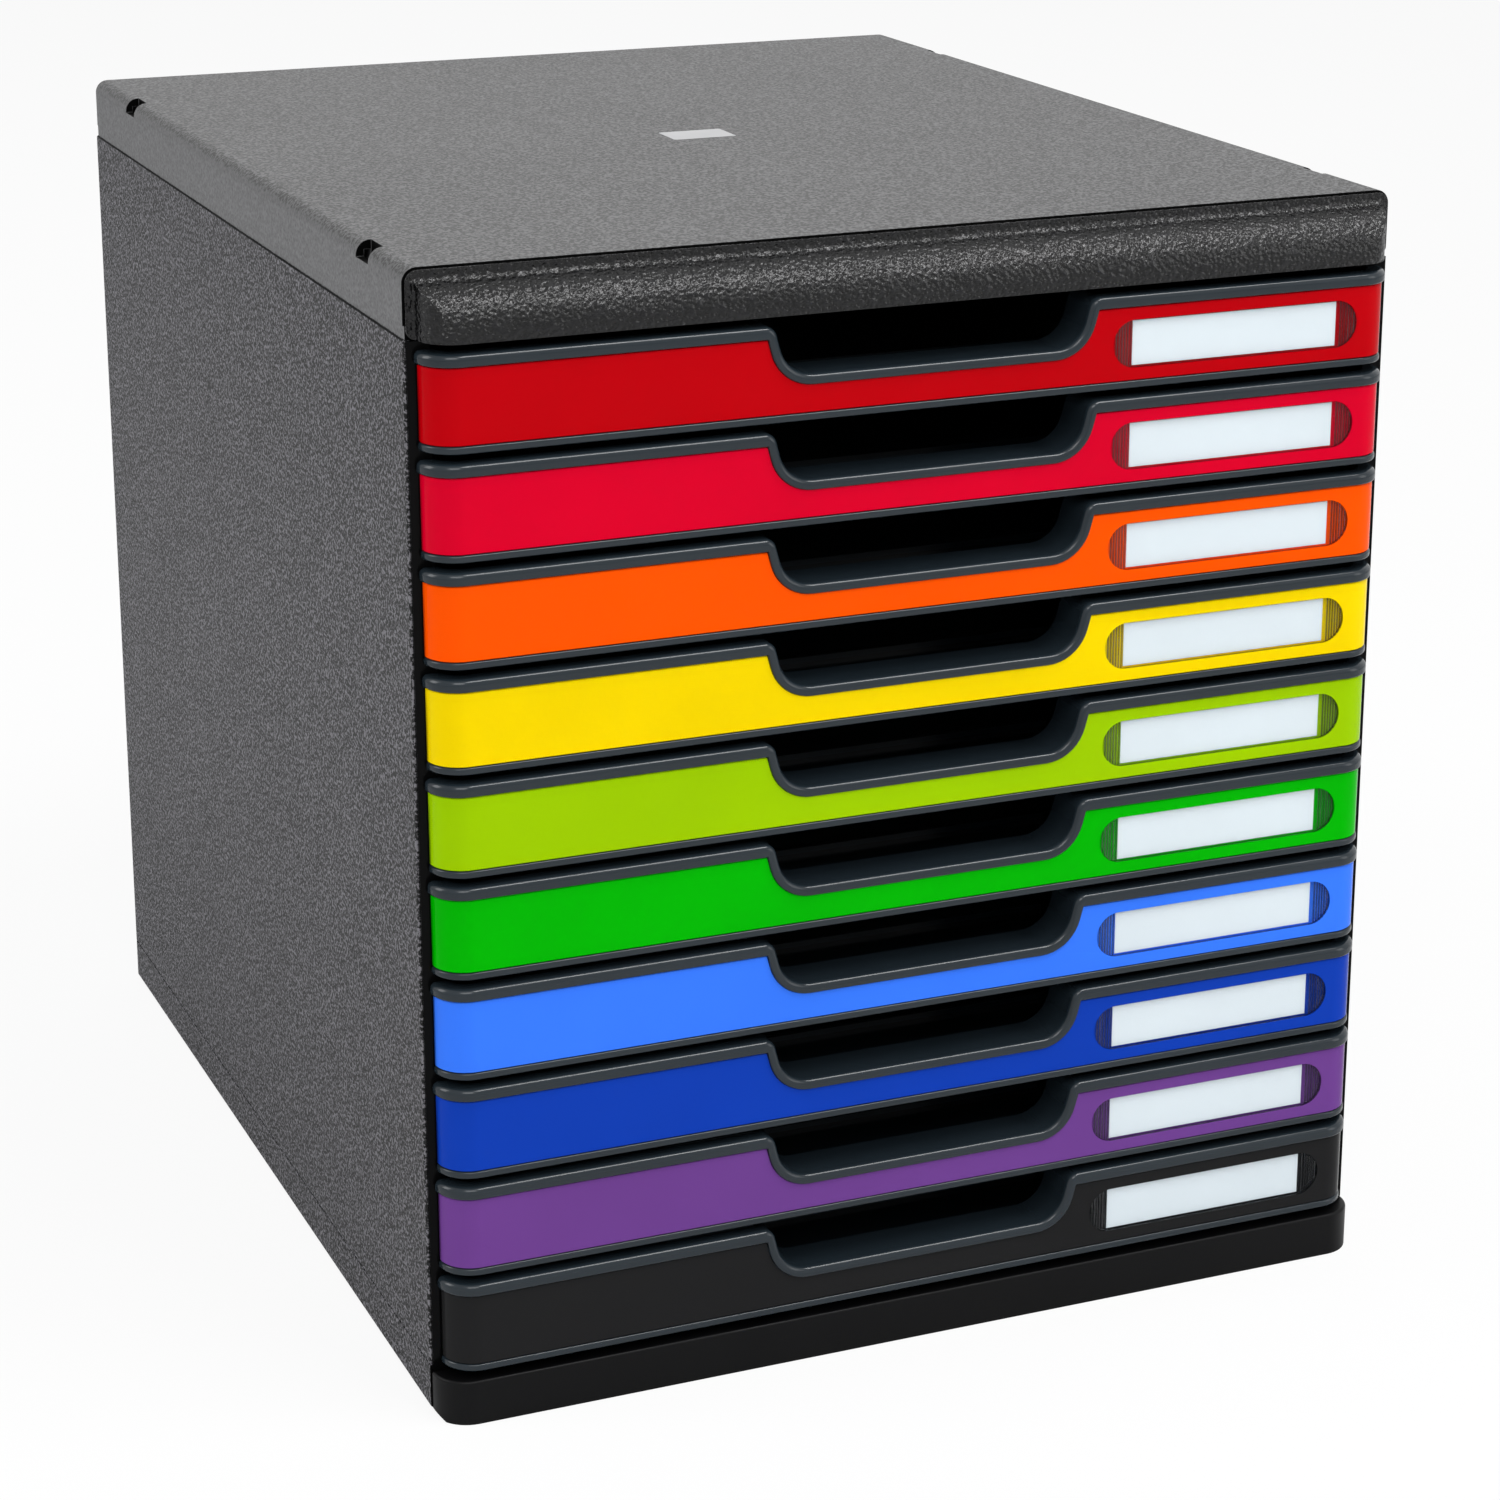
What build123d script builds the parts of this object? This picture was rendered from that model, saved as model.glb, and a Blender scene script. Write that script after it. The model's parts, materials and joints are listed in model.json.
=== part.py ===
from build123d import *
import os
import math

# Ten-drawer desktop organizer, in millimetres.
# +Z is up, +X is to the right, and the drawers open towards -Y.
# The origin is on the table, under the middle of the organizer.

# Whole cabinet
width = 288.0
depth = 350.0
shell_wall = 2.4
front_projection = 11.0        # the fronts stand this far before the shell's front edge
front_corner_radius = 10.0
fit_gap = 0.1                  # between pieces that are fixed to each other
running_gap = 0.3              # between a drawer and what it slides past
seam_gap = 0.4                 # dark line where two mouldings meet
overcut = 1.0                  # cutting bodies reach this far past what they cut

# Stack of drawers
drawer_count = 10
drawer_pitch = 28.6
front_gap = 2.5                # open line between two fronts

# Base
base_rim_height = 14.6
base_lip_height = 13.0
base_deck = 2.4
base_foot_width = 9.0
base_foot_height = 2.0
base_rib = 3.0
base_rib_spacing = 88.0
base_chamfer = 2.2
base_notch_length = 13.0
base_notch_height = 1.6
base_rail_side_inset = 0.4
base_rail_round = 0.8

# Cover
cover_height = 18.5
cover_top_wall = 2.6
cover_edge_radius = 4.0
cover_band_height = 3.6        # the lowest band of the cover's sides is set back a little
cover_band_inset = 0.5
cover_tongue_drop = 2.5
cover_tongue_wall = 1.6
cover_tongue_end = 8.0         # the tongue stops this far from the shell's ends
cover_rib = 1.6
cover_rib_height = 6.0
cover_rib_spacing = 70.0
clip_slot_length = 11.0
clip_slot_depth = 4.4
clip_slot_front = 34.0         # shell's front edge to the middle of the front slot
clip_slot_rear = 51.0          # shell's back to the middle of the rear slot

# Fascia
fascia_inset = 0.6
fascia_rim = 1.5
fascia_top_run = 14.0          # height over which the top flank swells forward
fascia_top_concave = 2.2
fascia_end_run = 10.5          # width over which an end flank swells forward
fascia_end_concave = 1.0
fascia_bottom_round = 2.6      # its two lower corners, seen from the front
fascia_wall = 2.4
fascia_core_height = 5.6

# Badge
badge_length = 20.0
badge_width = 14.0
badge_thickness = 0.5
badge_corner = 0.8
badge_setback = 160.0          # shell's front edge to the middle of the badge

# Side and back panels
panel_front_round = 0.8
panel_back_round = 2.0
back_panel_wall = 2.4
back_panel_setback = 1.6

# Runner racks
rack_plate = 1.4
rack_ledge = 1.8
rack_rib = 1.2
rack_ledge_width = 7.0
rack_front_lead = 1.0          # the rack's front strip stands before the shell's edge
rack_front_wall = 2.0
rack_side_inset = 0.6
rack_stop_overlap = 3.0
rack_end_wall = 2.0
rack_end_width = 7.0

# Drawer front
front_side_inset = 2.4         # shell's side to the end of a front
top_bead = 3.5
bottom_bead = 2.1
plate_recess = 0.8             # plate's face behind the top bead
bottom_bead_proud = 0.25       # bottom bead before the plate's face
plate_thickness = 2.0
front_wall = 2.0
top_bead_round = 1.7
bead_round = 0.7
plate_round = 0.35

# Finger notch
notch_half_top = 49.0
notch_depth = 13.5
notch_angle = 75.0             # slope of the straight part of its sides
notch_round_top = 3.5
notch_round_bottom = 9.4
notch_lip = 2.9                # grey lip round the notch
notch_lining = 1.8
notch_lining_depth = 14.0

# Tray
tray_floor = 1.6
tray_wall = 1.6
tray_lift = 1.2                # tray's underside above the front's bottom edge
tray_rim_height = 24.0
tray_flange = 1.6
tray_inner_round = 1.5
tray_corner_radius = 4.0
tray_rear_gap = 4.7            # tray's back wall to the back panel
drawer_travel = 225.0
floor_rib_length = 120.0
floor_rib_width = 2.4
floor_rib_height = 1.6
floor_rib_setback = 49.0       # front's face to the rib

# Label
window_clearance = 4.2         # notch's edge to the window
window_height = 13.2
window_end_margin = 12.4       # window's end to the front's right end
window_sink = 0.1
window_pocket = 1.4
card_end_margin = 6.2          # window's end to the card's end
card_height = 12.4
card_thickness = 0.3
groove_count = 6
groove_pitch = 0.85
groove_width = 0.4
groove_depth = 0.3
groove_margin = 0.9

# Worked out from the sizes above
half_width = width / 2
front_y = -depth / 2
back_y = depth / 2
shell_y = front_y + front_projection
front_height = drawer_pitch - front_gap
first_front_z = base_lip_height + front_gap
cover_z = first_front_z + drawer_count * drawer_pitch
height = cover_z + cover_height
inner_half = half_width - shell_wall
rack_half = inner_half - rack_plate
rack_y = shell_y - rack_front_lead
rack_face_y = rack_y + rack_front_wall
front_end_y = rack_y - running_gap
ledge_tip = rack_half - rack_ledge_width
tray_half = ledge_tip - running_gap
flange_half = rack_half - running_gap
flange_narrow = flange_half - rack_stop_overlap
back_panel_y = back_y - back_panel_setback - back_panel_wall
tray_back_y = back_panel_y - tray_rear_gap
front_half = half_width - front_side_inset
window_length = front_half - window_end_margin - window_clearance - notch_half_top
window_offset = front_half - window_length / 2 - window_end_margin
card_length = window_length - 2 * card_end_margin
plate_y = front_y + plate_recess
plate_z = bottom_bead + fit_gap
plate_height = front_height - bottom_bead - top_bead - 2 * fit_gap
wall_setback = plate_recess + plate_thickness + fit_gap
wall_y = front_y + wall_setback
notch_z = front_height - notch_depth
slot_ys = (shell_y + clip_slot_front, back_y - clip_slot_rear)


def block(x0, x1, y0, y1, z0, z1):
    """Box between two corners."""
    return Pos((x0 + x1) / 2, (y0 + y1) / 2, (z0 + z1) / 2) * Box(x1 - x0, y1 - y0, z1 - z0)


def slice_x(face, x0, x1):
    """Face drawn in Y and Z, extruded along X."""
    return extrude(Plane.YZ.offset(x0) * face, x1 - x0)


def slice_y(face, y0, y1):
    """Face drawn in X and Z, extruded along Y."""
    return extrude(Plane.XZ.offset(-y1) * face, y1 - y0)


def slice_z(face, z0, z1):
    """Face drawn in X and Y, extruded along Z."""
    return extrude(Pos(0, 0, z0) * face, z1 - z0)


def bow_plan(half, face_y, radius, end_y):
    """Plan of a front with two rounded corners, cut off straight at its back."""
    deep_y = end_y + radius
    sheet = Pos(0, (face_y + deep_y) / 2) * Rectangle(2 * half, deep_y - face_y)
    sheet = fillet(sheet.vertices().group_by(Axis.Y)[0], radius)
    return sheet & Pos(0, (face_y + end_y) / 2) * Rectangle(2 * half, end_y - face_y)


def front_slab(setback, end_y, z0, z1):
    """Slab with the plan of a drawer front, set back all round."""
    plan = bow_plan(front_half - setback, front_y + setback, front_corner_radius - setback, end_y)
    return slice_z(plan, z0, z1)


def round_rim(solid, z, radius, end_y):
    """Round the outer edges at one height, except along the open back."""
    rim = [e for e in solid.edges() if abs(e.center().Z - z) < 0.01 and e.center().Y < end_y - 0.01]
    return fillet(rim, radius)


def ogee(run, rise, concave):
    """Points of an S curve that starts and ends straight: run along it, rise across it."""
    turn = 2 * math.atan2(rise, run)
    convex = run / math.sin(turn) - concave
    points = []
    for angle in (0, turn / 2, turn):
        points.append((concave * math.sin(angle), concave * (1 - math.cos(angle))))
    centre = (run, rise - convex)
    for angle in (turn / 2, 0):
        points.append((centre[0] - convex * math.sin(angle), centre[1] + convex * math.cos(angle)))
    return points


def ogee_curves(points):
    """The two arcs through an ogee's five points."""
    return [ThreePointArc(points[0], points[1], points[2]), ThreePointArc(points[2], points[3], points[4])]


def notch_opening():
    """Finger notch in X and Z, with room above the front."""
    slope = math.tan(math.radians(notch_angle))
    shoulder = notch_half_top - notch_round_top * math.tan(math.radians(notch_angle) / 2)
    low = shoulder - notch_depth / slope
    reach = shoulder + notch_half_top / 2
    top = front_height + notch_depth
    right = [(low, notch_z), (shoulder, front_height), (reach, front_height), (reach, top)]
    left = [(-x, z) for x, z in reversed(right)]
    face = make_face(Polyline(*right, *left, close=True))
    bottom = [v for v in face.vertices() if abs(v.Y - notch_z) < 0.01]
    face = fillet(bottom, notch_round_bottom)
    shoulders = [v for v in face.vertices()
                 if abs(v.Y - front_height) < 0.01 and abs(abs(v.X) - shoulder) < 0.01]
    return fillet(shoulders, notch_round_top)


def edges_along(solid, outlines):
    """Edges of a solid that lie on given outlines, except along its open back."""
    found = []
    for edge in solid.edges():
        middle = edge @ 0.5
        if middle.Y < front_end_y - 0.01 and min(o.distance_to(middle) for o in outlines) < 0.01:
            found.append(edge)
    return found


def make_front():
    """Front of a tray: two beads round a plain wall, the upper one carried round the notch."""
    opening = notch_opening()
    lip = offset(opening, notch_lip)
    below = Pos(0, front_height / 2) * Rectangle(2 * notch_half_top, front_height)
    bead_z = front_height - top_bead
    front = front_slab(0, front_end_y, bead_z, front_height)
    front += slice_y(lip & below, front_y, wall_y)
    front -= slice_y(opening, front_y - overcut, front_end_y + overcut)
    plan = bow_plan(front_half, front_y, front_corner_radius, front_end_y).wire()
    face = Plane.XZ.offset(-front_y)
    outer = (Pos(0, 0, front_height) * plan, face * opening.wire())
    front = fillet(edges_along(front, outer), top_bead_round)
    inner = (Pos(0, 0, bead_z) * plan, face * lip.wire())
    front = fillet(edges_along(front, inner), bead_round)

    lower = front_slab(plate_recess - bottom_bead_proud, front_end_y, 0, bottom_bead)
    lower = round_rim(lower, 0, bead_round, front_end_y)
    lower = round_rim(lower, bottom_bead, bead_round, front_end_y)
    wall = front_slab(wall_setback, front_end_y, 0, front_height - top_bead / 2)
    wall -= slice_y(opening, front_y - overcut, front_end_y + overcut)
    back = front_slab(wall_setback + front_wall, front_end_y + front_wall,
                      -overcut, front_height + overcut)
    return front + lower + wall - back


def make_tray():
    """Slate tray: beaded front, lined finger notch, tub and side flanges."""
    opening = notch_opening()
    below = Pos(0, front_height / 2) * Rectangle(2 * notch_half_top, front_height)
    lining = offset(opening, notch_lining) & below
    front = make_front()

    tub = block(-tray_half, tray_half, wall_y + front_wall / 2, tray_back_y, tray_lift, tray_rim_height)
    back_corners = tub.edges().filter_by(Axis.Z).group_by(Axis.Y)[-1]
    tub = fillet(back_corners, tray_corner_radius)
    rim_z = tray_rim_height - tray_flange
    stop_y = rack_face_y + drawer_travel
    for side in (-1, 1):
        inner = side * (tray_half - tray_wall)
        for reach, start_y in ((flange_narrow, front_end_y - front_wall / 2), (flange_half, stop_y)):
            x0, x1 = sorted((inner, side * reach))
            tub += block(x0, x1, start_y, tray_back_y - tray_corner_radius, rim_z, tray_rim_height)
    well_half = tray_half - tray_wall
    well = block(-well_half, well_half, wall_y + front_wall, tray_back_y - tray_wall,
                 tray_lift + tray_floor, tray_rim_height + overcut)
    well = fillet(well.edges().filter_by(Axis.Z).group_by(Axis.Y)[-1], tray_corner_radius - tray_wall)
    well = fillet(well.faces().sort_by(Axis.Z)[0].edges(), tray_inner_round)
    tray = front + tub - well
    tray += slice_y(lining, wall_y + front_wall / 2, front_y + notch_lining_depth)
    tray -= slice_y(opening, front_y - overcut, front_y + notch_lining_depth + overcut)

    rib_y = front_y + floor_rib_setback
    floor_z = tray_lift + tray_floor
    tray += block(-floor_rib_length / 2, floor_rib_length / 2, rib_y, rib_y + floor_rib_width,
                  floor_z - tray_floor / 2, floor_z + floor_rib_height)
    return tray


def make_front_plate():
    """Coloured plate between the beads, wrapped round both corners, with a label pocket."""
    z1 = plate_z + plate_height
    plate = front_slab(plate_recess, front_end_y, plate_z, z1)
    plate = round_rim(plate, plate_z, plate_round, front_end_y)
    plate = round_rim(plate, z1, plate_round, front_end_y)
    plate -= front_slab(plate_recess + plate_thickness, front_end_y + overcut,
                        plate_z - overcut, z1 + overcut)
    plate -= slice_y(offset(notch_opening(), notch_lip + fit_gap), front_y - overcut, wall_y + overcut)
    pocket = Pos(window_offset, plate_z + plate_height / 2) * SlotOverall(
        window_length + 2 * fit_gap, window_height + 2 * fit_gap)
    return plate - slice_y(pocket, plate_y - overcut, plate_y + window_pocket)


def make_label_card():
    """White card on the floor of the label pocket."""
    y1 = plate_y + window_pocket
    z = plate_z + plate_height / 2
    return block(window_offset - card_length / 2, window_offset + card_length / 2,
                 y1 - card_thickness, y1, z - card_height / 2, z + card_height / 2)


def make_label_window():
    """Clear window over the card, with grip grooves at both ends."""
    z = plate_z + plate_height / 2
    face_y = plate_y + window_sink
    outline = Pos(window_offset, z) * SlotOverall(window_length, window_height)
    window = slice_y(outline, face_y, plate_y + window_pocket - card_thickness)
    for side in (-1, 1):
        for index in range(groove_count):
            inward = groove_margin + index * groove_pitch
            x = window_offset + side * (window_length / 2 - inward)
            window -= block(x - groove_width / 2, x + groove_width / 2, face_y - overcut,
                            face_y + groove_depth, z - window_height, z + window_height)
    return window


def make_cover():
    """Grained top shell with rounded edges, clip slots, tongues and stiffening ribs."""
    cover = block(-half_width, half_width, shell_y, back_y, cover_z, height)
    rim = [e for e in cover.edges() if e.center().Y > shell_y + 1 and e.center().Z > height - 0.01]
    rim += cover.edges().filter_by(Axis.Z).group_by(Axis.Y)[-1]
    cover = fillet(rim, cover_edge_radius)
    cover -= block(-inner_half, inner_half, shell_y + shell_wall, back_y - shell_wall,
                   cover_z - overcut, height - cover_top_wall)
    band_half = half_width - cover_band_inset
    band = block(-half_width - overcut, half_width + overcut, shell_y - overcut, back_y + overcut,
                 cover_z - overcut, cover_z + cover_band_height)
    cover -= band - block(-band_half, band_half, shell_y - 2 * overcut, back_y - cover_band_inset,
                          cover_z - 2 * overcut, height)
    for side in (-1, 1):
        outer = side * (rack_half - running_gap)
        inner = outer - side * cover_tongue_wall
        x0, x1 = sorted((outer, inner))
        cover += block(x0, x1, shell_y + cover_tongue_end, back_panel_y - cover_tongue_end,
                       cover_z - cover_tongue_drop, height - cover_top_wall)
        for y in slot_ys:
            x0, x1 = sorted((side * (half_width - clip_slot_depth), side * (half_width + overcut)))
            cover -= block(x0, x1, y - clip_slot_length / 2, y + clip_slot_length / 2,
                           height - clip_slot_depth, height + overcut)
    rib_z = height - cover_top_wall
    for index in (-1, 0, 1):
        x = index * cover_rib_spacing
        cover += block(x - cover_rib / 2, x + cover_rib / 2, shell_y + shell_wall, back_y - shell_wall,
                       rib_z - cover_rib_height, rib_z)
    return cover - make_badge(fit_gap)


def make_badge(grow=0):
    """Bare plate let in flush with the top, or its recess."""
    plan = Pos(0, shell_y + badge_setback) * RectangleRounded(
        badge_length + 2 * grow, badge_width + 2 * grow, badge_corner + grow)
    return slice_z(plan, height - badge_thickness, height)


def make_fascia():
    """Swelling front of the cover: an ogee on top and at both ends, mitred at the corners."""
    rim_half = half_width - fascia_inset
    rim_top = height - fascia_inset
    rim_y = rack_y
    rise = rim_y - front_y
    back = shell_y - seam_gap

    flank = [(rim_y - across, rim_top - fascia_rim - along)
             for along, across in ogee(fascia_top_run, rise, fascia_top_concave)]
    section = ogee_curves(flank)
    section += [Polyline(flank[-1], (front_y, cover_z), (back, cover_z), (back, rim_top),
                         (rim_y, rim_top), flank[0])]
    along_x = slice_x(make_face(Curve() + section), -rim_half, rim_half)

    left = [(-rim_half + fascia_rim + along, rim_y - across)
            for along, across in ogee(fascia_end_run, rise, fascia_end_concave)]
    right = [(-x, y) for x, y in left]
    plan = ogee_curves(left) + ogee_curves(right) + [Line(left[-1], right[-1])]
    plan += [Polyline(left[0], (-rim_half, rim_y), (-rim_half, back), (rim_half, back),
                      (rim_half, rim_y), right[0])]
    along_z = slice_z(make_face(Curve() + plan), cover_z, rim_top)

    radius = cover_edge_radius - fascia_inset
    face = Pos(0, (cover_z + rim_top) / 2) * Rectangle(2 * rim_half, rim_top - cover_z)
    face = fillet(face.vertices().group_by(Axis.Y)[-1], radius)
    face = fillet(face.vertices().group_by(Axis.Y)[0], fascia_bottom_round)
    fascia = along_x & along_z & slice_y(face, front_y - overcut, back)

    core_half = rim_half - fascia_end_run - fascia_rim - fascia_wall
    core_z = cover_z + fascia_wall
    fascia -= block(-core_half, core_half, front_y + fascia_wall, back + overcut,
                    core_z, core_z + fascia_core_height)
    pad_z = core_z + fascia_core_height + fascia_wall
    return fascia + block(-core_half, core_half, back - overcut, shell_y, pad_z, pad_z + fascia_wall)


def side_chamfer():
    """Wedges that bevel the two long bottom edges."""
    wedge = make_face(Polyline((0, -overcut), (base_chamfer + overcut, -overcut),
                               (0, base_chamfer), close=True))
    right = Plane.XZ.offset(-back_y - overcut) * wedge
    cutter = extrude(right, depth + 2 * overcut)
    cutter = Pos(-half_width, 0, 0) * cutter
    return cutter + mirror(cutter, Plane.YZ)


def make_base():
    """Base tray: deck for the racks, foot rim and ribs underneath, notched side edges."""
    base = block(-half_width, half_width, shell_y, back_y, 0, base_rim_height)
    base = fillet(base.edges().filter_by(Axis.Z).group_by(Axis.Y)[-1], panel_back_round)
    base -= block(-inner_half, inner_half, shell_y - overcut, back_y - shell_wall,
                  base_lip_height, base_rim_height + overcut)
    deck_z = base_lip_height - base_deck
    base -= block(-inner_half, inner_half, shell_y + shell_wall, back_y - shell_wall,
                  base_foot_height, deck_z)
    foot_half = half_width - base_foot_width
    base -= block(-foot_half, foot_half, shell_y + base_foot_width, back_y - base_foot_width,
                  -overcut, base_foot_height + overcut)
    for index in (-1, 0, 1):
        place = index * base_rib_spacing
        base += block(place - base_rib / 2, place + base_rib / 2,
                      shell_y + shell_wall, back_y - shell_wall, 0, deck_z)
        base += block(-inner_half, inner_half, place - base_rib / 2, place + base_rib / 2, 0, deck_z)
    base -= side_chamfer()
    for side in (-1, 1):
        for y in slot_ys:
            x0, x1 = sorted((side * inner_half, side * (half_width + overcut)))
            base -= block(x0, x1, y - base_notch_length / 2, y + base_notch_length / 2,
                          -overcut, base_notch_height)
    return base


def make_base_rail():
    """Front of the base: a smooth bowed rail with its ends rounded like the fronts."""
    half = half_width - base_rail_side_inset
    end_y = shell_y - seam_gap
    rail = slice_z(bow_plan(half, front_y, front_corner_radius, end_y), 0, base_lip_height)
    rail = round_rim(rail, base_lip_height, base_rail_round, end_y)
    hollow = bow_plan(half - shell_wall, front_y + shell_wall,
                      front_corner_radius - shell_wall, end_y + overcut)
    rail -= slice_z(hollow, -overcut, base_lip_height - shell_wall)
    rail -= side_chamfer()
    pad_half = inner_half - base_foot_width
    return rail + block(-pad_half, pad_half, end_y - overcut, shell_y,
                        base_lip_height - 2 * shell_wall, base_lip_height - shell_wall / 2)


def make_side_panel(side):
    """Plain grained side wall between base and cover."""
    x0, x1 = sorted((side * half_width, side * inner_half))
    panel = block(x0, x1, shell_y, back_y, base_rim_height, cover_z)
    outer = panel.faces().sort_by(Axis.X)[-1 if side > 0 else 0]
    upright = outer.edges().filter_by(Axis.Z).sort_by(Axis.Y)
    panel = fillet(upright[0], panel_front_round)
    outer = panel.faces().filter_by(Axis.X).sort_by(Axis.X)[-1 if side > 0 else 0]
    upright = outer.edges().filter_by(Axis.Z).sort_by(Axis.Y)
    panel = fillet(upright[-1], panel_back_round)
    outer = panel.faces().filter_by(Axis.X).sort_by(Axis.X)[-1 if side > 0 else 0]
    return chamfer(outer.edges().filter_by(Axis.Y), seam_gap)


def make_back_panel():
    """Back wall, let in between the side panels."""
    return block(-inner_half, inner_half, back_panel_y, back_panel_y + back_panel_wall,
                 base_rim_height, cover_z)


def make_rack(side):
    """Runner rack: a channel for each drawer's flange, a stop strip in front, an end strip behind."""
    def spread(reach, inner, y0, y1, z0, z1):
        x0, x1 = sorted((side * reach, side * inner))
        return block(x0, x1, y0, y1, z0, z1)

    top = cover_z - running_gap
    rack = spread(inner_half, rack_half, rack_y, back_panel_y, base_lip_height, top)
    strip_inner = flange_narrow + running_gap
    rack += spread(half_width - rack_side_inset, strip_inner, rack_y, shell_y, base_lip_height, top)
    rack += spread(inner_half, strip_inner, rack_y, rack_face_y, base_lip_height, top)
    end_y = tray_back_y + running_gap
    rack += spread(inner_half, rack_half - rack_end_width, end_y, end_y + rack_end_wall,
                   base_lip_height, top)
    for index in range(drawer_count):
        rim_z = first_front_z + index * drawer_pitch + tray_rim_height
        ledge_z = rim_z - tray_flange - running_gap
        rib_z = rim_z + running_gap
        rack += spread(inner_half, ledge_tip, rack_face_y, end_y + rack_end_wall,
                       ledge_z - rack_ledge, ledge_z)
        rack += spread(inner_half, ledge_tip, rack_face_y, end_y + rack_end_wall, rib_z, rib_z + rack_rib)
    return rack


os.makedirs("parts", exist_ok=True)

cabinet = {
    "top_cover": make_cover(),
    "cover_fascia": make_fascia(),
    "badge_plate": make_badge(),
    "base": make_base(),
    "base_front_rail": make_base_rail(),
    "left_side_panel": make_side_panel(-1),
    "right_side_panel": make_side_panel(1),
    "back_panel": make_back_panel(),
    "left_runner_rack": make_rack(-1),
    "right_runner_rack": make_rack(1),
}
for name, shape in cabinet.items():
    export_step(shape, f"parts/{name}.step")

drawer = {
    "tray": make_tray(),
    "front_plate": make_front_plate(),
    "label_card": make_label_card(),
    "label_window": make_label_window(),
}
for number in range(1, drawer_count + 1):
    # drawer 1 is the top one
    z = first_front_z + (drawer_count - number) * drawer_pitch
    for name, shape in drawer.items():
        export_step(Pos(0, 0, z) * shape, f"parts/drawer_{number:02d}_{name}.step")

print("height", round(height, 3), "travel", drawer_travel - running_gap)
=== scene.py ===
import bpy
import json
import math
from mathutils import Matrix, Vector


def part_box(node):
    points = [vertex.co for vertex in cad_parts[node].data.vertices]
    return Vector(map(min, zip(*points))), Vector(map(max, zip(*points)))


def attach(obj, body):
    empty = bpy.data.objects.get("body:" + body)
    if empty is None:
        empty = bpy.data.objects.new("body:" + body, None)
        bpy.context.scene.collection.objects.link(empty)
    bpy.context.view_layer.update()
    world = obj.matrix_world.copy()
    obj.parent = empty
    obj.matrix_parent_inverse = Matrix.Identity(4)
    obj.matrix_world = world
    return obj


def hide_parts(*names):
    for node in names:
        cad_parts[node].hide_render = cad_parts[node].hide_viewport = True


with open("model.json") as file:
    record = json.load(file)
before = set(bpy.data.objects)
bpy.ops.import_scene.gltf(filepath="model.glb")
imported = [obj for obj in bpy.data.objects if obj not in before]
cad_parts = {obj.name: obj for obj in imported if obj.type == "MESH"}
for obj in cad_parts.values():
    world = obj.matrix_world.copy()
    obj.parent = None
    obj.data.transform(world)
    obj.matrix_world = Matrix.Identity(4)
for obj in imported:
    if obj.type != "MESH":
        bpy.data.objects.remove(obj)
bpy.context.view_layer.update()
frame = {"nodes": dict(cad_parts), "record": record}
nodes = frame["nodes"]
record = frame["record"]
slotOf = {part["node"]: part["material_slot"] for part in record["subparts"]}
bodyOf = {node: body for body, members in record["behaviour"]["bodies"].items() for node in members}
print("frame loaded:", len(nodes), "nodes")


def addNode(tree, kind, **settings):
    node = tree.nodes.new(kind)
    for name, value in settings.items():
        setattr(node, name, value)
    return node


def startMaterial(name, look):
    # one shader, and its constant values straight on its own sockets
    material = bpy.data.materials.new(name)
    material.use_nodes = True
    tree = material.node_tree
    shader = tree.nodes["Principled BSDF"]
    shader.inputs["Specular IOR Level"].default_value = look.get("specular", 0.5)
    place = addNode(tree, "ShaderNodeTexCoord")
    return material, tree, shader, place.outputs["Object"]


def noiseAt(tree, place, scale, roughness=0.55):
    noise = addNode(tree, "ShaderNodeTexNoise")
    noise.inputs["Scale"].default_value = scale
    noise.inputs["Detail"].default_value = 2.0
    noise.inputs["Roughness"].default_value = roughness
    tree.links.new(place, noise.inputs["Vector"])
    return noise.outputs["Fac"]


noiseSpan = (0.3, 0.7)         # nearly all values of a noise lie between these


def rangeOf(tree, value, newLow, newHigh, span=noiseSpan):
    mapped = addNode(tree, "ShaderNodeMapRange")
    ends = {"From Min": span[0], "From Max": span[1], "To Min": newLow, "To Max": newHigh}
    for socket, number in ends.items():
        mapped.inputs[socket].default_value = number
    tree.links.new(value, mapped.inputs["Value"])
    return mapped.outputs["Result"]


def rampOf(tree, value, stops):
    ramp = addNode(tree, "ShaderNodeValToRGB")
    elements = ramp.color_ramp.elements
    while len(elements) < len(stops):
        elements.new(0.5)
    for element, (place, colour) in zip(elements, stops):
        element.position = place
        element.color = (*colour, 1.0)
    tree.links.new(value, ramp.inputs["Fac"])
    return ramp.outputs["Color"]


def bumpFrom(tree, height, distance, under=None):
    bump = addNode(tree, "ShaderNodeBump")
    bump.inputs["Distance"].default_value = distance
    bump.inputs["Strength"].default_value = 1.0
    tree.links.new(height, bump.inputs["Height"])
    if under is not None:
        tree.links.new(under, bump.inputs["Normal"])
    return bump.outputs["Normal"]


roughDrift = 0.01              # how far the roughness of the grain wanders


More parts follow.
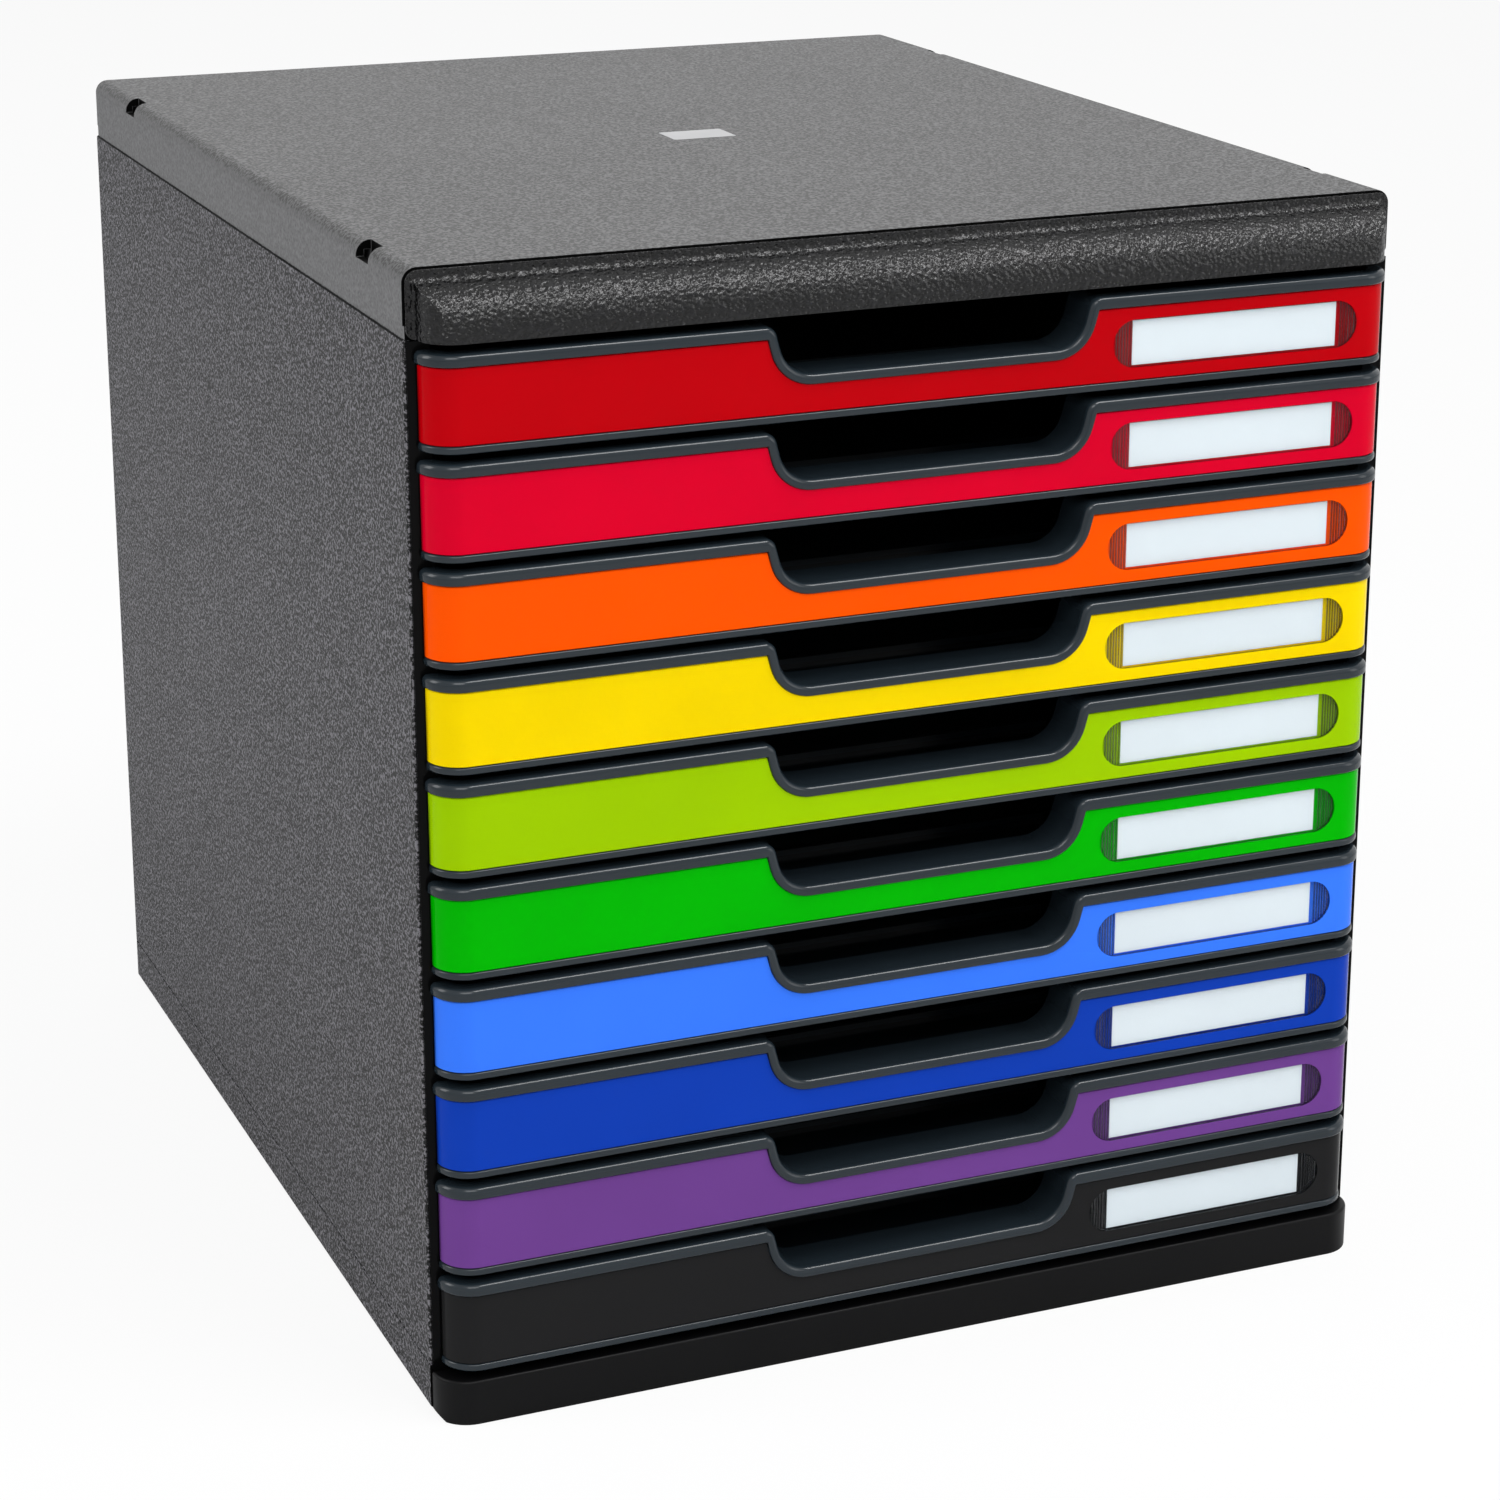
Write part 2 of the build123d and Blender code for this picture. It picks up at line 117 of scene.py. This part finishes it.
def grainedPlastic(name, look):
    # pebbled leather grain: small cells, with finer specks over them
    material, tree, shader, place = startMaterial(name, look)
    cells = addNode(tree, "ShaderNodeTexVoronoi", feature="SMOOTH_F1")
    cells.inputs["Scale"].default_value = look["cellScale"]
    tree.links.new(place, cells.inputs["Vector"])
    specks = noiseAt(tree, place, look["speckScale"], 0.6)
    cloud = noiseAt(tree, place, look["cloudScale"])
    mixed = addNode(tree, "ShaderNodeMix", data_type="FLOAT")
    mixed.inputs["Factor"].default_value = look["speckShare"]
    tree.links.new(cells.outputs["Distance"], mixed.inputs["A"])
    tree.links.new(specks, mixed.inputs["B"])
    grain = mixed.outputs["Result"]
    if "calmSides" in look:
        # the cover's flanks are moulded much smoother than its top
        facing = addNode(tree, "ShaderNodeSeparateXYZ")
        tree.links.new(tree.nodes["Texture Coordinate"].outputs["Normal"], facing.inputs["Vector"])
        calm = addNode(tree, "ShaderNodeMix", data_type="FLOAT")
        howCalm = rangeOf(tree, facing.outputs["Z"], look["calmSides"], 0.0, look["calmTilt"])
        tree.links.new(howCalm, calm.inputs["Factor"])
        tree.links.new(grain, calm.inputs["A"])
        calm.inputs["B"].default_value = look["calmLevel"]
        grain = calm.outputs["Result"]
    colour = rampOf(tree, grain, ((look["low"], look["pit"]), (look["high"], look["crest"])))
    if "calmSides" in look:
        # painted shade: its rounded edge is painted darker than the flank below it and the top above it,
        # and the top somewhat darker than the flank
        shade = addNode(tree, "ShaderNodeMix", data_type="RGBA", blend_type="MULTIPLY")
        shade.inputs["Factor"].default_value = 1.0
        tilt = [(height, (level, level, level)) for height, level in look["paintedShadeByTilt"]]
        tree.links.new(colour, shade.inputs[6])
        tree.links.new(rampOf(tree, facing.outputs["Z"], tilt), shade.inputs[7])
        colour = shade.outputs[2]
    tree.links.new(colour, shader.inputs["Base Color"])
    rough = rangeOf(tree, cloud, look["roughness"] - roughDrift, look["roughness"] + roughDrift)
    tree.links.new(rough, shader.inputs["Roughness"])
    tree.links.new(bumpFrom(tree, grain, look["grainDepth"]), shader.inputs["Normal"])
    return material


moulded = {
    "driftScale": 22.0,        # slow change of colour
    "drift": 0.05,             # share by which the colour changes
    "driftSpan": (0.35, 0.65),
    "waveScale": 45.0,         # waviness of the surface
    "waveDepth": 0.00006,
    "waveRough": (0.85, 1.2),  # roughness between the waves and on them, as a share
    "fineScale": 1800.0,       # fine skin over the waves
    "fineDepth": 0.000004,
}


def smoothPlastic(name, look):
    # moulded surface: a faint waviness under the gloss and a slow drift of its colour
    material, tree, shader, place = startMaterial(name, look)
    drift = noiseAt(tree, place, moulded["driftScale"])
    colour = look["colour"]
    spread = look.get("drift", moulded["drift"])
    dark = tuple(channel * (1 - spread) for channel in colour)
    light = tuple(min(1.0, channel * (1 + spread)) for channel in colour)
    stops = tuple(zip(moulded["driftSpan"], (dark, light)))
    tree.links.new(rampOf(tree, drift, stops), shader.inputs["Base Color"])
    wave = noiseAt(tree, place, look.get("waveScale", moulded["waveScale"]))
    rough = rangeOf(tree, wave, *(look["roughness"] * share for share in moulded["waveRough"]))
    tree.links.new(rough, shader.inputs["Roughness"])
    ripple = bumpFrom(tree, wave, look.get("waveDepth", moulded["waveDepth"]))
    fine = noiseAt(tree, place, look.get("fineScale", moulded["fineScale"]))
    tree.links.new(bumpFrom(tree, fine, moulded["fineDepth"], ripple), shader.inputs["Normal"])
    return material


shellLooks = {
    "grained_charcoal": {"pit": (0.0, 0.0, 0.0), "crest": (0.18, 0.175, 0.192), "low": 0.468, "high": 0.535,
                         "cellScale": 1100.0, "speckScale": 1500.0, "speckShare": 0.6, "cloudScale": 9.0,
                         "grainDepth": 0.0002, "roughness": 0.55, "specular": 0.25},
    "cover_charcoal": {"pit": (0.0, 0.0, 0.0), "crest": (0.142, 0.142, 0.146), "low": 0.45, "high": 0.522,
                       "cellScale": 1000.0, "speckScale": 1300.0, "speckShare": 0.6, "cloudScale": 9.0,
                       "grainDepth": 0.00015, "roughness": 0.48, "specular": 0.4, "calmSides": 0.85,
                       "calmLevel": 0.51, "calmTilt": (0.4, 0.95),
                       # painted shade by tilt: the cover's rounded edge and its top are darkened
                       "paintedShadeByTilt": ((0.0, 1.0), (0.2, 0.9), (0.6, 0.5), (0.85, 0.55), (1.0, 0.68))},
    "grained_gloss_black": {"pit": (0.001, 0.001, 0.001), "crest": (0.004, 0.004, 0.005),
                            "low": 0.4, "high": 0.6, "cellScale": 950.0, "speckScale": 1400.0,
                            "speckShare": 0.3, "cloudScale": 9.0, "grainDepth": 0.0006,
                            "roughness": 0.15, "specular": 0.34},
}
smoothLooks = {
    "smooth_black": {"colour": (0.002, 0.002, 0.0023), "roughness": 0.4, "specular": 0.12},
    # painted shade: near-black for faces in seams, slots and the side panels' bevels
    "painted_seam_shade": {"colour": (0.0015, 0.0015, 0.0015), "roughness": 0.5, "specular": 0.03},
    "runner_black": {"colour": (0.002, 0.002, 0.0022), "roughness": 0.14, "specular": 0.05},
    "badge_grey": {"colour": (0.42, 0.42, 0.43), "roughness": 0.4, "fineScale": 3000.0},
    "tray_slate": {"colour": (0.014, 0.021, 0.027), "roughness": 0.18, "specular": 0.3},
    "label_white": {"colour": (0.84, 0.93, 0.98), "roughness": 0.7, "drift": 0.015, "waveDepth": 0.00001},
}
plateLook = {"roughness": 0.07, "specular": 0.03, "drift": 0.03, "waveScale": 38.0, "waveDepth": 0.00005}
plateColours = {
    "front_dark_red": (0.47, 0.0, 0.003),
    "front_crimson": (0.66, 0.0, 0.02),
    "front_orange": (1.0, 0.085, 0.0),
    "front_yellow": (0.9, 0.66, 0.0),
    "front_lime": (0.32, 0.57, 0.0),
    "front_green": (0.0, 0.44, 0.0),
    "front_light_blue": (0.04, 0.19, 0.95),
    "front_dark_blue": (0.005, 0.045, 0.42),
    "front_purple": (0.15, 0.05, 0.26),
    "front_black": (0.0155, 0.0155, 0.016),
}
clearLooks = {
    "label_clear": {"specular": 0.5, "colour": (0.02, 0.03, 0.035), "cover": 0.05},
    # painted shade: darker, less clear sheet for the window's edges and grip grooves
    "label_clear_edge_shade": {"specular": 0.8, "colour": (0.01, 0.012, 0.014), "cover": 0.6},
}
clearHaze = {"scale": 120.0, "roughness": (0.03, 0.09)}


def clearPlastic(name, look):
    # thin clear sheet: see-through, with a little of its own tint and gloss
    material, tree, shader, place = startMaterial(name, look)
    shader.inputs["Base Color"].default_value = (*look["colour"], 1.0)
    shader.inputs["Alpha"].default_value = look["cover"]
    haze = noiseAt(tree, place, clearHaze["scale"])
    tree.links.new(rangeOf(tree, haze, *clearHaze["roughness"]), shader.inputs["Roughness"])
    return material


materials = {name: grainedPlastic(name, look) for name, look in shellLooks.items()}
materials.update({name: smoothPlastic(name, look) for name, look in smoothLooks.items()})
for name, colour in plateColours.items():
    materials[name] = smoothPlastic(name, dict(plateLook, colour=colour))
materials.update({name: clearPlastic(name, look) for name, look in clearLooks.items()})
finishOf = {"top_cover": "cover_charcoal"}     # nodes that don't take the finish of their slot
print("materials:", len(materials))


edgeRound = {
    # light caught by the edges of the shell's mouldings: width of the round in metres
    "top_cover": 0.0003,
    "cover_fascia": 0.0005,
    "base": 0.0004,
    "base_front_rail": 0.0003,
    "left_side_panel": 0.0002,
    "right_side_panel": 0.0002,
}
shading = {
    "weld": 0.000002,
    "flatAngle": 0.4,          # degrees: triangles of one flat face are joined again
    "edgeAngle": 40,           # degrees: sharper edges of the shell are rounded
    "smoothAngle": 32,         # degrees: flatter edges are shaded smooth
}


def finishedCopy(node):
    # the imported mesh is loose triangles, so a copy of it is merged and shaded smooth
    mesh = nodes[node].data.copy()
    piece = bpy.data.objects.new(node + "_finished", mesh)
    bpy.context.scene.collection.objects.link(piece)
    mesh.materials.clear()
    mesh.materials.append(materials[finishOf.get(node, slotOf[node])])
    bpy.ops.object.select_all(action="DESELECT")
    bpy.context.view_layer.objects.active = piece
    piece.select_set(True)
    bpy.ops.object.mode_set(mode="EDIT")
    bpy.ops.mesh.select_all(action="SELECT")
    bpy.ops.mesh.remove_doubles(threshold=shading["weld"])
    bpy.ops.mesh.dissolve_limited(angle_limit=math.radians(shading["flatAngle"]))
    bpy.ops.object.mode_set(mode="OBJECT")
    if node in edgeRound:
        bpy.ops.object.modifier_add(type="BEVEL")
        rounding = piece.modifiers[-1]
        rounding.width = edgeRound[node]
        rounding.segments = 2
        rounding.limit_method = "ANGLE"
        rounding.angle_limit = math.radians(shading["edgeAngle"])
        bpy.ops.object.modifier_apply(modifier=rounding.name)
    bpy.ops.object.shade_smooth_by_angle(angle=math.radians(shading["smoothAngle"]))
    bpy.ops.object.modifier_add(type="WEIGHTED_NORMAL")
    piece.modifiers[-1].keep_sharp = True
    bpy.ops.object.modifier_apply(modifier=piece.modifiers[-1].name)
    piece.select_set(False)
    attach(piece, bodyOf[node])
    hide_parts(node)
    return piece


finished = {node: finishedCopy(node) for node in sorted(nodes)}
print("finished pieces:", len(finished))

# where painted shade goes: faces in seams, slots and the side panels' bevels
seams = {
    "front": -0.9,             # faces that look forward, into the seam before them
    "frontDeep": 0.0005,       # and lie no further back than this
    "slotDepth": 0.0046,
    "slotInset": 0.0002,       # slot walls start this far inside the outer skin
    "slotReach": 0.16,         # no slot lies nearer to the cabinet's ends
    "slotWall": 0.97,
    "slotFloor": 0.9,
    "floorDrop": 0.003,        # slot floors lie further below the cover's top than this
    "bevelTilt": (0.4, 0.9),   # how far the side panels' long bevels look up or down
    "bevelTurn": 0.3,
}


def paintSeamShade(piece, inShade):
    # painted shade: faces inside a seam or a slot lie in shadow, so they are painted near-black
    mesh = piece.data
    mesh.materials.append(materials["painted_seam_shade"])
    for face in mesh.polygons:
        if inShade(face.center, face.normal):
            face.material_index = len(mesh.materials) - 1


def frontSeamShade(node, place, normal):
    return normal.y < seams["front"] and place.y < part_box(node)[0].y + seams["frontDeep"]


def coverSeamShade(place, normal):
    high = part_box("top_cover")[1]
    near = abs(place.x) > high.x - seams["slotDepth"] and place.z > high.z - seams["slotDepth"]
    inSkin = abs(place.x) < high.x - seams["slotInset"] and abs(place.y) < seams["slotReach"]
    wall = max(abs(normal.x), abs(normal.y)) > seams["slotWall"]
    floor = normal.z > seams["slotFloor"] and place.z < high.z - seams["floorDrop"]
    return frontSeamShade("top_cover", place, normal) or near and inSkin and (wall or floor)


def baseSeamShade(place, normal):
    return frontSeamShade("base", place, normal)


def panelBevelShade(place, normal):
    # painted shade on the two long bevels where a side panel meets the base and the cover
    low, high = seams["bevelTilt"]
    return low < abs(normal.z) < high and abs(normal.y) < seams["bevelTurn"]


paintSeamShade(finished["top_cover"], coverSeamShade)
paintSeamShade(finished["base"], baseSeamShade)
for side in ("left", "right"):
    paintSeamShade(finished[side + "_side_panel"], panelBevelShade)
print("seams finished")

labelWindow = {
    "backLift": 0.00006,       # keeps the sheet's back clear of the card behind it
    "edgeTurn": 0.65,          # a face that looks forward or back less than this is an edge
    "grooveTurn": -0.9,        # groove floors look forward
    "grooveDeep": 0.0002,      # and lie this far behind the sheet's face
}


def finishWindow(piece):
    # painted shade: edges and grip grooves of the clear sheet are painted darker and less clear than its
    # flat face
    mesh = piece.data
    mesh.materials.append(materials["label_clear_edge_shade"])
    frontY = min(corner.co.y for corner in mesh.vertices)
    backY = max(corner.co.y for corner in mesh.vertices)
    for face in mesh.polygons:
        looksForward = face.normal.y < labelWindow["grooveTurn"]
        grooveFloor = looksForward and face.center.y > frontY + labelWindow["grooveDeep"]
        if abs(face.normal.y) < labelWindow["edgeTurn"] or grooveFloor:
            face.material_index = 1
    for corner in mesh.vertices:
        if corner.co.y > backY - labelWindow["backLift"]:
            corner.co.y -= labelWindow["backLift"]


for node, piece in finished.items():
    if node.endswith("_label_window"):
        finishWindow(piece)
print("label windows finished")

studio = {
    "floorSize": 30.0,
    "floorColour": (0.92, 0.92, 0.92),
    "floorRoughness": 0.9,
    "floorSpecular": 0.1,
    "floorWhite": 0.9,        # share of plain white that the camera sees on the floor
    "skyColour": (0.97, 0.985, 1.0),
    "skyStrength": 0.34,
    # name: (place, aimed at, width, height, watts)
    "lamps": {
        "key": ((-0.7, -2.0, 2.0), (0.0, 0.0, 0.15), 1.3, 1.0, 22.0),
        "side": ((-2.4, 0.4, 1.5), (0.0, 0.0, 0.15), 1.0, 1.4, 22.0),
        "gloss": ((0.62, -0.85, 1.9), (0.0, -0.17, 0.2), 1.2, 0.32, 20.0),
        "fill": ((1.9, -1.6, 1.0), (0.0, 0.0, 0.15), 1.0, 1.4, 10.0),
        "back": ((0.4, 1.9, 1.7), (0.0, 0.0, 0.2), 2.2, 1.0, 6.0),
    },
}

bpy.ops.object.select_all(action="DESELECT")
bpy.ops.mesh.primitive_plane_add(size=studio["floorSize"], location=(0, 0, 0))
floor = bpy.context.object
floor.name = "studioFloor"
floorMaterial = bpy.data.materials.new("studioFloor")
floorMaterial.use_nodes = True
floorShader = floorMaterial.node_tree.nodes["Principled BSDF"]
floorShader.inputs["Base Color"].default_value = (*studio["floorColour"], 1.0)
floorShader.inputs["Roughness"].default_value = studio["floorRoughness"]
floorShader.inputs["Specular IOR Level"].default_value = studio["floorSpecular"]
paint = floorMaterial.node_tree
glow = addNode(paint, "ShaderNodeEmission")
glow.inputs["Strength"].default_value = 1.0
seen = addNode(paint, "ShaderNodeLightPath")
share = addNode(paint, "ShaderNodeMath", operation="MULTIPLY")
share.inputs[1].default_value = studio["floorWhite"]
paint.links.new(seen.outputs["Is Camera Ray"], share.inputs[0])
layered = addNode(paint, "ShaderNodeMixShader")
paint.links.new(share.outputs["Value"], layered.inputs["Fac"])
paint.links.new(floorShader.outputs["BSDF"], layered.inputs[1])
paint.links.new(glow.outputs["Emission"], layered.inputs[2])
paint.links.new(layered.outputs["Shader"], paint.nodes["Material Output"].inputs["Surface"])
floor.data.materials.append(floorMaterial)

world = bpy.data.worlds.new("studio")
bpy.context.scene.world = world
world.use_nodes = True
sky = world.node_tree
light = sky.nodes["Background"]
light.inputs["Color"].default_value = (*studio["skyColour"], 1.0)
light.inputs["Strength"].default_value = studio["skyStrength"]
white = addNode(sky, "ShaderNodeBackground")
white.inputs["Color"].default_value = (1.0, 1.0, 1.0, 1.0)
white.inputs["Strength"].default_value = 1.0
rays = addNode(sky, "ShaderNodeLightPath")
seesWhite = rays.outputs["Is Camera Ray"]
for kind in ("Is Glossy Ray", "Is Transmission Ray"):
    either = addNode(sky, "ShaderNodeMath", operation="MAXIMUM")
    sky.links.new(seesWhite, either.inputs[0])
    sky.links.new(rays.outputs[kind], either.inputs[1])
    seesWhite = either.outputs["Value"]
blend = addNode(sky, "ShaderNodeMixShader")
sky.links.new(seesWhite, blend.inputs["Fac"])
sky.links.new(light.outputs["Background"], blend.inputs[1])
sky.links.new(white.outputs["Background"], blend.inputs[2])
sky.links.new(blend.outputs["Shader"], sky.nodes["World Output"].inputs["Surface"])

for name, (place, target, wide, high, watts) in studio["lamps"].items():
    bpy.ops.object.light_add(type="AREA", location=place)
    lamp = bpy.context.object
    lamp.name = name + "Lamp"
    lamp.data.shape = "RECTANGLE"
    lamp.data.size = wide
    lamp.data.size_y = high
    lamp.data.energy = watts
    aim = (lamp.location - type(lamp.location)(target)).to_track_quat("Z", "Y")
    lamp.rotation_euler = aim.to_euler()
print("studio ready")

view = {
    "lens": 89.6,              # mm
    "sensor": 36.0,            # mm
    "place": (-0.4163, -1.0478, 0.5073),
    "turn": -22.56,            # degrees about the vertical
    "down": 16.35,             # degrees below the horizon
    "shiftUp": -0.11,
    "clip": (0.05, 60.0),
}
bpy.ops.object.camera_add(location=view["place"])
camera = bpy.context.object
camera.name = "photoCamera"
camera.data.lens = view["lens"]
camera.data.sensor_width = view["sensor"]
camera.data.shift_y = view["shiftUp"]
camera.data.clip_start, camera.data.clip_end = view["clip"]
camera.rotation_euler = (math.radians(90 - view["down"]), 0.0, math.radians(view["turn"]))
bpy.context.scene.camera = camera
bpy.context.scene.view_settings.view_transform = "Standard"
